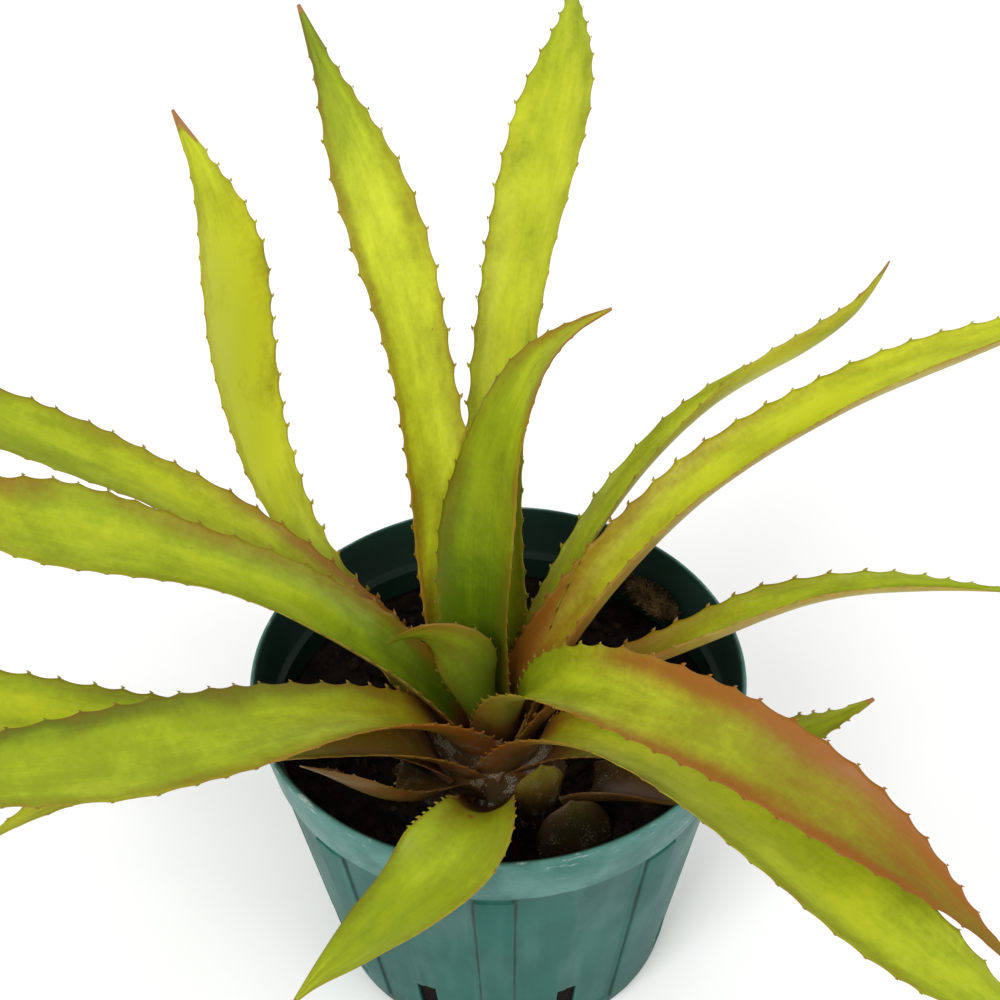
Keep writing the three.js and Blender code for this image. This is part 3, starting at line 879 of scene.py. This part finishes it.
@dataclass(frozen=True)
class PotPlastic:
    """Moulded plastic gone chalky: teal-green, paler on the rim's band, scuffed and dusty, with
    painted shade inside it and in its crevices.
    """

    name: str = "pot_plastic_finish"
    green: Colour = (0.010, 0.098, 0.078)
    pale: Colour = (0.100, 0.232, 0.202)
    grey: Colour = (0.018, 0.088, 0.070)
    # painted shade: the same teal plastic drawn nearly black, because it lies in the shade within
    # the pot
    inside_shade: Colour = (0.0035, 0.0150, 0.0085)
    chalk: Colour = (0.52, 0.60, 0.58)
    # dirt smears, and painted shade in the crevices and inside the pot
    dirt_and_shade: Colour = (0.012, 0.026, 0.020)
    band_foot: float = 0.107
    rim: float = 0.131

    def make(self) -> bpy.types.Material:
        """Builds the material."""
        g = Graph(self.name)
        place = g.place()
        height = g.node("SeparateXYZ", {0: place}).outputs[2]
        mottle = g.noise(place, 28.0, 4.0)
        streak = g.noise(g.scaled(place, (90.0, 90.0, 9.0)), 1.0, 3.0)
        grain = g.noise(place, 1400.0, 3.0)
        outer = g.attribute("outer")

        body = g.mix(g.ramp(mottle, 0.35, 0.7), self.green, self.grey)
        body = g.mix(g.ramp(streak, 0.45, 0.75, 0.0, 0.22), body, self.pale)
        band = g.ramp(height, self.band_foot - 1.5 * MM, self.band_foot)
        cloud = g.ramp(g.noise(place, 45.0, 5.0, 0.6), 0.35, 0.7, 0.25, 0.9)
        colour = g.mix(g.math("MULTIPLY", band, cloud), body, self.pale)

        scuffs = g.noise(g.scaled(place, (60.0, 60.0, 260.0)), 1.0, 6.0, 0.72)
        worn = g.ramp(height, self.rim - 14 * MM, self.rim, 0.0, 0.10)
        scuffed = g.ramp(g.math("ADD", scuffs, worn), 0.62, 0.78, 0.0, 0.8)
        fleck = g.cells(g.scaled(place, (1.0, 1.0, 0.45)), 120.0)
        flecks = g.math("MULTIPLY", g.ramp(fleck.outputs["Distance"], 0.11, 0.05, 0.0, 0.8),
                        g.ramp(fleck.outputs["Color"], 0.88, 0.90))
        marks = g.math("MAXIMUM", g.math("MULTIPLY", scuffed, g.ramp(band, 0.0, 1.0, 0.25, 1.0)),
                       flecks)
        colour = g.mix(marks, colour, self.chalk)

        # Dirt smears, and painted shade along the rib corners and under the band's step, with the
        # foot drawn darker.
        smear = g.noise(place, 60.0, 5.0, 0.65)
        smear_and_shade = g.math("ADD", smear, g.attribute("crevice_shade"))
        colour = g.mix(g.ramp(smear_and_shade, 0.72, 1.05, 0.0, 0.85), colour, self.dirt_and_shade)

        # Painted shade: the inner wall is drawn nearly black with darker smudges, and only a little
        # of the teal shows just under the rim.
        shaded_lining = g.mix(g.ramp(mottle, 0.3, 0.7, 0.0, 0.5), self.inside_shade, self.dirt_and_shade)
        shaded_lining = g.mix(g.ramp(height, self.rim - 9 * MM, self.rim - 1 * MM, 0.0, 0.08), shaded_lining,
                       self.green)
        colour = g.mix(outer, shaded_lining, colour)
        g.feed(g.shader.inputs["Base Color"], colour)

        rough = g.math("ADD", g.ramp(mottle, 0.3, 0.7, 0.36, 0.52), g.math("MULTIPLY", marks, 0.3))
        g.feed(g.shader.inputs["Roughness"], rough)
        g.shader.inputs["Specular IOR Level"].default_value = 0.13
        relief = g.math("ADD", g.math("MULTIPLY", grain, 0.35), g.math("MULTIPLY", mottle, 0.65))
        g.bump(relief, 0.12 * MM, 0.5)
        return g.material


@dataclass
class NurseryPot:
    """The moulded pot: a tapered wall under a banded rim, with ribs, side slots and a ledge."""

    node: str = "nursery_pot"
    foot_radius: float = 64 * MM
    wall: float = 2.2 * MM
    band_height: float = 24 * MM
    band_step: float = 1.2 * MM
    ledge_drop: float = 19 * MM
    ledge_width: float = 4.8 * MM
    ledge_depth: float = 6 * MM
    floor: float = 2.5 * MM
    recess: float = 2 * MM
    foot_ring: float = 7 * MM
    centre_pad: float = 14 * MM
    edge: float = 0.8 * MM
    band_swell: float = 12 * MM
    rib_gap: float = 3.5 * MM
    rib_slope: float = 0.5 * MM
    panel_sunk: float = 0.35 * MM
    fillet: float = 0.22 * MM
    units: int = 8
    first_rib: float = -92 * DEGREE
    rib_half: float = 5 * DEGREE
    rib_proud: float = 0.9 * MM
    rib_foot: float = 6 * MM
    slot_offset: float = 21.5 * DEGREE
    slot_columns: int = 5
    slot_foot: float = 9 * MM
    slot_top: float = 29 * MM
    hole_radius: float = 4.5 * MM
    hole_circle: float = 40 * MM
    columns: int = 288
    finish: PotPlastic = field(default_factory=PotPlastic)

    def __post_init__(self) -> None:
        """Reads the pot's height and rim from its CAD solid."""
        low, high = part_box(self.node)
        self.height = high.z
        self.rim_radius = high.x
        self.pitch = 2 * math.pi / self.columns

    def outside(self, height: float) -> float:
        """The radius of the wall's even taper at a height."""
        return self.foot_radius + (self.rim_radius - self.foot_radius) * height / self.height

    def profile(self) -> list[Vector]:
        """The wall's outline from the middle of its underside to the middle of its floor."""
        band = self.height - self.band_height
        ledge = self.height - self.ledge_drop
        foot = self.foot_radius - self.band_step
        ring = foot - self.foot_ring
        under = self.recess + self.floor
        skin = self.outside
        rows = [self.rib_foot, self.slot_foot, self.slot_top, self.height * 0.5, band - self.rib_gap]
        outline = [(0, 0), (self.centre_pad, 0), (self.centre_pad, self.recess),
                   (self.hole_circle, self.recess), (ring, self.recess), (ring, 0),
                   (foot - self.edge, 0), (foot, self.edge)]
        outline += [(skin(z) - self.band_step, z) for z in rows]
        outline += [(skin(band) - self.band_step, band - self.band_step),
                    (skin(band) - 0.3 * MM, band - 0.5 * MM), (skin(band), band + 0.3 * MM),
                    (skin(band + self.band_swell) + 0.15 * MM, band + self.band_swell),
                    (self.rim_radius, self.height - 1.5 * self.edge),
                    (self.rim_radius - 0.3 * self.edge, self.height - 0.4 * self.edge),
                    (self.rim_radius - self.edge, self.height),
                    (self.rim_radius - self.wall + 0.3 * MM, self.height),
                    (self.rim_radius - self.wall, self.height - 0.4 * MM),
                    (skin(ledge + 1 * MM) - self.wall, ledge + 1 * MM),
                    (skin(ledge) - self.wall - 0.8 * MM, ledge),
                    (skin(ledge) - self.ledge_width, ledge - self.edge),
                    (skin(ledge - self.ledge_depth) - self.band_step - self.wall,
                     ledge - self.ledge_depth)]
        outline += [(skin(z) - self.band_step - self.wall, z)
                    for z in (self.height * 0.5, self.slot_top, self.slot_foot)]
        outline += [(skin(under) - self.band_step - self.wall - 2 * MM, under), (0, under)]
        turn = Matrix.Rotation(self.first_rib - self.rib_half, 3, "Z")
        return [turn @ Vector((radius, 0, z)) for radius, z in outline]

    def column(self, face: bmesh.types.BMFace) -> float:
        """Where a face lies in its unit, in columns from the start of the rib."""
        middle = face.calc_center_median()
        angle = math.atan2(middle.y, middle.x) - self.first_rib + self.rib_half
        return angle % (2 * math.pi / self.units) / self.pitch

    def build(self) -> None:
        """Makes the pot."""
        shape = bmesh.new()
        verts = [shape.verts.new(p) for p in self.profile()]
        edges = [shape.edges.new(pair) for pair in zip(verts, verts[1:])]
        bmesh.ops.spin(shape, geom=verts + edges, cent=(0, 0, 0), axis=(0, 0, 1),
                       angle=2 * math.pi, steps=self.columns, use_merge=True,
                       use_duplicate=False)
        bmesh.ops.remove_doubles(shape, verts=shape.verts, dist=1e-6)
        bmesh.ops.recalc_face_normals(shape, faces=shape.faces[:])
        self.raise_ribs(shape)
        self.cut_slots(shape)
        self.soften(shape)
        self.drill(shape)
        outer = shape.verts.layers.float.new("outer")
        crevice_shade = shape.verts.layers.float.new("crevice_shade")
        for vert in shape.verts:
            step = self.band_step if vert.co.z < self.height - self.band_height else 0.0
            reach = vert.co.xy.length - self.outside(vert.co.z) + step + self.wall / 2
            vert[outer] = ease(-0.6 * MM, 0.0, reach) if vert.co.z > self.recess else 1.0
            # Painted shade under the band's step and along the rib corners; the lowest 30 mm is also
            # drawn darker towards the foot.
            near_band = abs(vert.co.z - self.height + self.band_height + 1.0 * MM)
            vert[crevice_shade] = 0.42 * ease(2.2 * MM, 0.2 * MM, near_band)
            vert[crevice_shade] += 0.25 * ease(0.03, 0.0, vert.co.z)
            vert[crevice_shade] += self.rib_shade(vert.co)
        piece = add_piece(self.node + "_shell", shape, self.finish.make(), (self.node,))
        piece.data.set_sharp_from_angle(angle=40 * DEGREE)

    def rib_shade(self, place: Vector) -> float:
        """How much painted shade lies in the corner where a rib meets the wall.

        Args:
            place: A point of the wall.

        Returns:
            The painted shade's amount there.
        """
        angle = math.atan2(place.y, place.x) - self.first_rib + self.rib_half
        column = angle % (2 * math.pi / self.units) / self.pitch
        sides = (0.0, 2 * self.rib_half / self.pitch, 2 * math.pi / self.units / self.pitch)
        near = min(abs(column - side) for side in sides)
        below_band = ease(0.0, 2 * MM, self.height - self.band_height - place.z)
        return 0.75 * ease(0.30, 0.05, near) * below_band

    def wall_faces(self, shape: bmesh.types.BMesh, low: float, high: float, first: float,
                   last: float) -> list[bmesh.types.BMFace]:
        """The wall's faces in one window of each unit, on the pot's inner and outer sides.

        Args:
            shape: The pot.
            low: The window's lowest height.
            high: Its highest.
            first: Its first column.
            last: Its last column.

        Returns:
            The faces.
        """
        found = []
        for face in shape.faces:
            middle = face.calc_center_median()
            on_wall = middle.xy.length > self.outside(middle.z) - 5 * MM
            if on_wall and low < middle.z < high and first < self.column(face) < last:
                found.append(face)
        return found

    def raise_ribs(self, shape: bmesh.types.BMesh) -> None:
        """Raises a flat rib with sloping sides in each unit, and sinks a shallow panel.

        Args:
            shape: The pot.
        """
        top = self.height - self.band_height - self.rib_gap + 0.1 * MM
        rib_columns = 2 * self.rib_half / self.pitch
        slot = (self.slot_offset + self.rib_half) / self.pitch
        last = 2 * math.pi / self.units / self.pitch
        for first, end, proud in ((0, rib_columns, self.rib_proud),
                                  (slot - 0.2, last - 1.2, -self.panel_sunk)):
            faces = [f for f in self.wall_faces(shape, self.rib_foot, top, first, end)
                     if f.normal.xy.dot(f.calc_center_median().xy) > 0]
            bmesh.ops.inset_region(shape, faces=faces, thickness=self.rib_slope, depth=proud,
                                   use_boundary=True, use_even_offset=True)

    def cut_slots(self, shape: bmesh.types.BMesh) -> None:
        """Opens a drain slot through the wall in each unit.

        Args:
            shape: The pot.
        """
        centre = (self.slot_offset + self.rib_half) / self.pitch
        first = round(centre - self.slot_columns / 2)
        faces = self.wall_faces(shape, self.slot_foot, self.slot_top, first,
                                first + self.slot_columns)
        bmesh.ops.delete(shape, geom=faces, context="FACES")
        rims = [e for e in shape.edges if e.is_boundary]
        units: dict[int, list] = {}
        for rim in rims:
            middle = (rim.verts[0].co + rim.verts[1].co) / 2
            angle = (math.atan2(middle.y, middle.x) - self.first_rib) % (2 * math.pi)
            units.setdefault(int(angle * self.units / (2 * math.pi)), []).append(rim)
        for loops in units.values():
            bmesh.ops.bridge_loops(shape, edges=loops)
        bmesh.ops.recalc_face_normals(shape, faces=shape.faces[:])

    def soften(self, shape: bmesh.types.BMesh) -> None:
        """Rounds the moulding's hard edges.

        Args:
            shape: The pot.
        """
        hard = [e for e in shape.edges if len(e.link_faces) == 2
                and e.calc_face_angle(0.0) > 38 * DEGREE]
        bmesh.ops.bevel(shape, geom=hard, offset=self.fillet, offset_type="OFFSET", affect="EDGES",
                        segments=2, profile=0.5, material=-1, clamp_overlap=True)

    def drill(self, shape: bmesh.types.BMesh) -> None:
        """Cuts the drain holes in the floor, one in each unit.

        Args:
            shape: The pot.
        """
        cutters = bmesh.new()
        for unit in range(self.units):
            turn = Matrix.Rotation(self.first_rib + unit * 2 * math.pi / self.units, 4, "Z")
            place = turn @ Matrix.Translation((self.hole_circle, 0, 0))
            bmesh.ops.create_cone(cutters, cap_ends=True, segments=24, radius1=self.hole_radius,
                                  radius2=self.hole_radius, depth=24 * MM, matrix=place)
        pot = self.loose(shape, "pot_blank")
        drill = self.loose(cutters, "pot_drill")
        cut = pot.modifiers.new("holes", "BOOLEAN")
        cut.operation = "DIFFERENCE"
        cut.solver = "EXACT"
        cut.object = drill
        graph = bpy.context.evaluated_depsgraph_get()
        result = bpy.data.meshes.new_from_object(pot.evaluated_get(graph))
        shape.clear()
        shape.from_mesh(result)
        for blank in (pot, drill):
            mesh = blank.data
            bpy.data.objects.remove(blank)
            bpy.data.meshes.remove(mesh)
        bpy.data.meshes.remove(result)

    def loose(self, shape: bmesh.types.BMesh, name: str) -> bpy.types.Object:
        """Makes a short-lived object with a copy of a shape.

        Args:
            shape: The shape.
            name: The object's name.

        Returns:
            The object.
        """
        mesh = bpy.data.meshes.new(name)
        shape.to_mesh(mesh)
        made = bpy.data.objects.new(name, mesh)
        bpy.context.scene.collection.objects.link(made)
        return made


@dataclass(frozen=True)
class Soil:
    """Dark moist potting mix, from black to brown."""

    name: str
    dark: Colour = (0.0020, 0.0016, 0.0010)
    brown: Colour = (0.012, 0.0066, 0.0034)
    tan: Colour = (0.07, 0.040, 0.020)
    shine: float = 0.08

    def make(self) -> bpy.types.Material:
        """Builds the material."""
        g = Graph(self.name)
        place = g.place()
        clods = g.noise(place, 160.0, 5.0, 0.65)
        grit = g.noise(place, 900.0, 4.0, 0.7)
        colour = g.mix(g.ramp(clods, 0.35, 0.7), self.dark, self.brown)
        pale = g.cells(place, 210.0)
        chips = g.math("MULTIPLY", g.ramp(pale.outputs["Color"], 0.86, 0.90),
                       g.ramp(pale.outputs["Distance"], 0.5, 0.2))
        colour = g.mix(g.math("MULTIPLY", chips, 0.5), colour, self.tan)
        g.feed(g.shader.inputs["Base Color"], colour)
        g.feed(g.shader.inputs["Roughness"], g.ramp(grit, 0.3, 0.7, 0.7, 0.95))
        g.shader.inputs["Specular IOR Level"].default_value = self.shine
        g.bump(g.math("ADD", clods, grit), 1.2 * MM, 0.8)
        return g.material


@dataclass
class PottingMix:
    """The mix that fills the pot, with loose crumbs and bark on its top."""

    node: str = "potting_mix"
    crumbs: int = 520
    sides: int = 120
    rings: int = 34
    sunk: float = 1.6 * MM
    foot_inset: float = 18.3 * MM

    def __post_init__(self) -> None:
        """Reads the size of the mix from its CAD solid."""
        low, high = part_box(self.node)
        self.floor = low.z
        self.radius = high.x
        self.top = high.z - self.sunk

    def height(self, place: Vector) -> float:
        """The level of the mix's lumpy top at a place."""
        broad = noise.noise(Vector((place.x * 28, place.y * 28, 3.0)))
        lumps = noise.fractal(Vector((place.x * 150, place.y * 150, 9.0)), 0.8, 2.0, 4)
        return self.top + self.sunk * broad + 1.1 * MM * lumps

    def build(self) -> None:
        """Makes the mix and its crumbs."""
        finish = Soil("potting_mix_soil").make()
        foot = self.radius - self.foot_inset
        outline = [(0, self.floor), (foot, self.floor), (self.radius, self.top)]
        outline += [(self.radius * (1 - (i + 1) / self.rings), self.top) for i in range(self.rings)]
        shape = bmesh.new()
        verts = [shape.verts.new((radius, 0, z)) for radius, z in outline]
        edges = [shape.edges.new(pair) for pair in zip(verts, verts[1:])]
        bmesh.ops.spin(shape, geom=verts + edges, cent=(0, 0, 0), axis=(0, 0, 1),
                       angle=2 * math.pi, steps=self.sides, use_merge=True, use_duplicate=False)
        bmesh.ops.remove_doubles(shape, verts=shape.verts, dist=1e-6)
        for vert in shape.verts:
            if vert.co.z > self.top - 0.1 * MM and vert.co.xy.length < self.radius - 0.5 * MM:
                vert.co.z = self.height(vert.co)
        bmesh.ops.recalc_face_normals(shape, faces=shape.faces[:])
        add_piece(self.node + "_bed", shape, finish, (self.node,))
        add_piece(self.node + "_crumbs", self.crumb_heap(), Soil(
            "potting_mix_crumbs_soil", dark=(0.003, 0.0022, 0.0014), brown=(0.022, 0.012, 0.006),
            tan=(0.12, 0.07, 0.035)).make())

    def crumb_heap(self) -> bmesh.types.BMesh:
        """Scatters crumbs and short bits of bark over the top."""
        rng = random.Random(7)
        heap = bmesh.new()
        for _ in range(self.crumbs):
            away = (self.radius - 5 * MM) * math.sqrt(rng.uniform(0.05, 1))
            turn = rng.uniform(0, 2 * math.pi)
            spot = Vector((away * math.cos(turn), away * math.sin(turn), 0))
            size = rng.uniform(0.7, 2.2) * MM * (1.6 if rng.random() < 0.12 else 1)
            spot.z = self.height(spot) + 0.25 * size
            long = rng.choice((1.0, 1.2, 1.6, 2.6))
            lie = Matrix.Translation(spot) @ Matrix.Rotation(rng.uniform(0, 6.3), 4, "Z")
            lie = lie @ Matrix.Rotation(rng.uniform(-0.5, 0.5), 4, "Y")
            lie = lie @ Matrix.Diagonal((size * long, size * 0.8, size * 0.6, 1))
            count = len(heap.verts)
            bmesh.ops.create_icosphere(heap, subdivisions=1, radius=1.0, matrix=lie)
            heap.verts.ensure_lookup_table()
            for vert in heap.verts[count:]:
                jolt = Vector([rng.uniform(-1, 1) for _ in range(3)])
                vert.co += jolt * size * 0.28
        return heap


@dataclass
class MossTuft:
    """Dry tan moss lying along the ledge: a lumpy cushion under a mat of short flat stems."""

    STRAY = ((-1.0, 1.0), (-1.0, 1.0), (-0.1, 0.3))

    node: str = "moss_tuft"
    stems: int = 420
    lumpy: float = 0.8 * MM
    root: float = 0.48 * MM
    end: float = 0.16 * MM

    def build(self) -> None:
        """Makes the tuft."""
        low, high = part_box(self.node)
        shape = bmesh.new()
        shape.from_mesh(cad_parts[self.node].data)
        bmesh.ops.remove_doubles(shape, verts=shape.verts, dist=1e-6)
        bmesh.ops.subdivide_edges(shape, edges=shape.edges[:], cuts=2, use_grid_fill=True)
        for vert in shape.verts:
            lump = noise.fractal(vert.co * 320, 0.9, 2.0, 3)
            vert.co += (vert.co - (low + high) / 2).normalized() * self.lumpy * lump
        bmesh.ops.recalc_face_normals(shape, faces=shape.faces[:])
        rng = random.Random(11)
        hosts = [f for f in shape.faces if f.normal.z > -0.2]
        seats = [rng.choice(hosts) for _ in range(self.stems)]
        places = [(seat.calc_center_median(), seat.normal.copy()) for seat in seats]
        for place, normal in places:
            stray = Vector([rng.uniform(low, high) for low, high in self.STRAY])
            lean = (normal * 0.2 + stray).normalized()
            size = rng.uniform(1.0, 3.2) * MM
            turn = lean.to_track_quat("Z", "Y").to_matrix().to_4x4()
            at = Matrix.Translation(place + lean * size * 0.4) @ turn
            bmesh.ops.create_cone(shape, cap_ends=True, segments=4, radius1=self.root,
                                  radius2=self.end, depth=size, matrix=at)
        add_piece(self.node + "_cushion", shape, Soil(
            "moss_fibres", dark=(0.016, 0.010, 0.004), brown=(0.13, 0.080, 0.032),
            tan=(0.42, 0.28, 0.12)).make(), (self.node,))


@dataclass(frozen=True)
class Studio:
    """The pale floor, the soft lights and the camera."""

    lens: float = 100.8
    eye: Vector = Vector((1.877, -703.04, 866.25)) * MM
    pitch: float = 42.7295 * DEGREE
    roll: float = 1.0914 * DEGREE
    floor_half: float = 4.0
    surroundings: float = 0.85
    aim: Vector = Vector((0, 0, 0.15))

    def camera(self) -> None:
        """Looks down at the plant from the front."""
        data = bpy.data.cameras.new("camera")
        data.lens = self.lens
        data.sensor_width = 36
        data.clip_start = 0.01
        ahead = Vector((0, math.cos(self.pitch), -math.sin(self.pitch)))
        up = Vector((0, math.sin(self.pitch), math.cos(self.pitch)))
        turn = Matrix.Rotation(self.roll, 3, ahead)
        basis = Matrix((Vector((1, 0, 0)), up, -ahead)).transposed()
        eye = bpy.data.objects.new("camera", data)
        eye.matrix_world = Matrix.Translation(self.eye) @ (turn @ basis).to_4x4()
        bpy.context.scene.collection.objects.link(eye)
        bpy.context.scene.camera = eye

    def floor(self) -> None:
        """Lays a plain pale floor."""
        g = Graph("floor_paint")
        speckle = g.noise(g.place(), 3.0, 2.0)
        paint = g.mix(speckle, (0.97, 0.97, 0.97), (0.99, 0.99, 0.99))
        g.feed(g.shader.inputs["Base Color"], paint)
        g.shader.inputs["Roughness"].default_value = 0.9
        shape = bmesh.new()
        bmesh.ops.create_grid(shape, x_segments=2, y_segments=2, size=self.floor_half)
        mesh = bpy.data.meshes.new("floor")
        shape.to_mesh(mesh)
        shape.free()
        mesh.materials.append(g.material)
        floor = bpy.data.objects.new("floor", mesh)
        bpy.context.scene.collection.objects.link(floor)

    def lights(self) -> None:
        """Sets even white surroundings and two large soft lamps."""
        world = bpy.data.worlds.new("surroundings")
        world.use_nodes = True
        sky = world.node_tree.nodes["Background"].inputs
        sky["Color"].default_value = (1, 1, 1, 1)
        sky["Strength"].default_value = self.surroundings
        bpy.context.scene.world = world
        for name, place, size, power in (
                ("key", Vector((-0.9, -1.7, 2.0)), 1.0, 34.0),
                ("fill", Vector((1.6, -1.2, 1.4)), 1.4, 14.0)):
            data = bpy.data.lights.new(name, "AREA")
            data.size = size
            data.energy = power
            lamp = bpy.data.objects.new(name, data)
            lamp.location = place
            lamp.rotation_euler = (self.aim - place).to_track_quat("-Z", "Y").to_euler()
            bpy.context.scene.collection.objects.link(lamp)
        bpy.context.scene.view_settings.view_transform = "Standard"

    def build(self) -> None:
        """Sets the stage."""
        self.camera()
        self.floor()
        self.lights()


def dress_stem() -> None:
    """Gives the CAD stem, which shows only between the sheaths, its brown finish."""
    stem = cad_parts["stem"]
    material = Soil("stem_bark", dark=(0.020, 0.012, 0.005), brown=(0.075, 0.045, 0.016),
                    tan=(0.20, 0.16, 0.08)).make()
    for slot in stem.material_slots:
        slot.material = material


def main() -> None:
    """Builds the plant from the pot up."""
    logging.basicConfig(level=logging.INFO, format="%(message)s")
    Studio().build()
    NurseryPot().build()
    PottingMix().build()
    MossTuft().build()
    dress_stem()
    thorn = spine_shape()
    skins = {False: YOUNG_SKIN.make(), True: OLD_SKIN.make()}
    for order, leaf in enumerate(LEAVES):
        leaf.build(order, skins[leaf.old], thorn)
    bpy.data.meshes.remove(thorn)


if __name__ == "__main__":
    main()
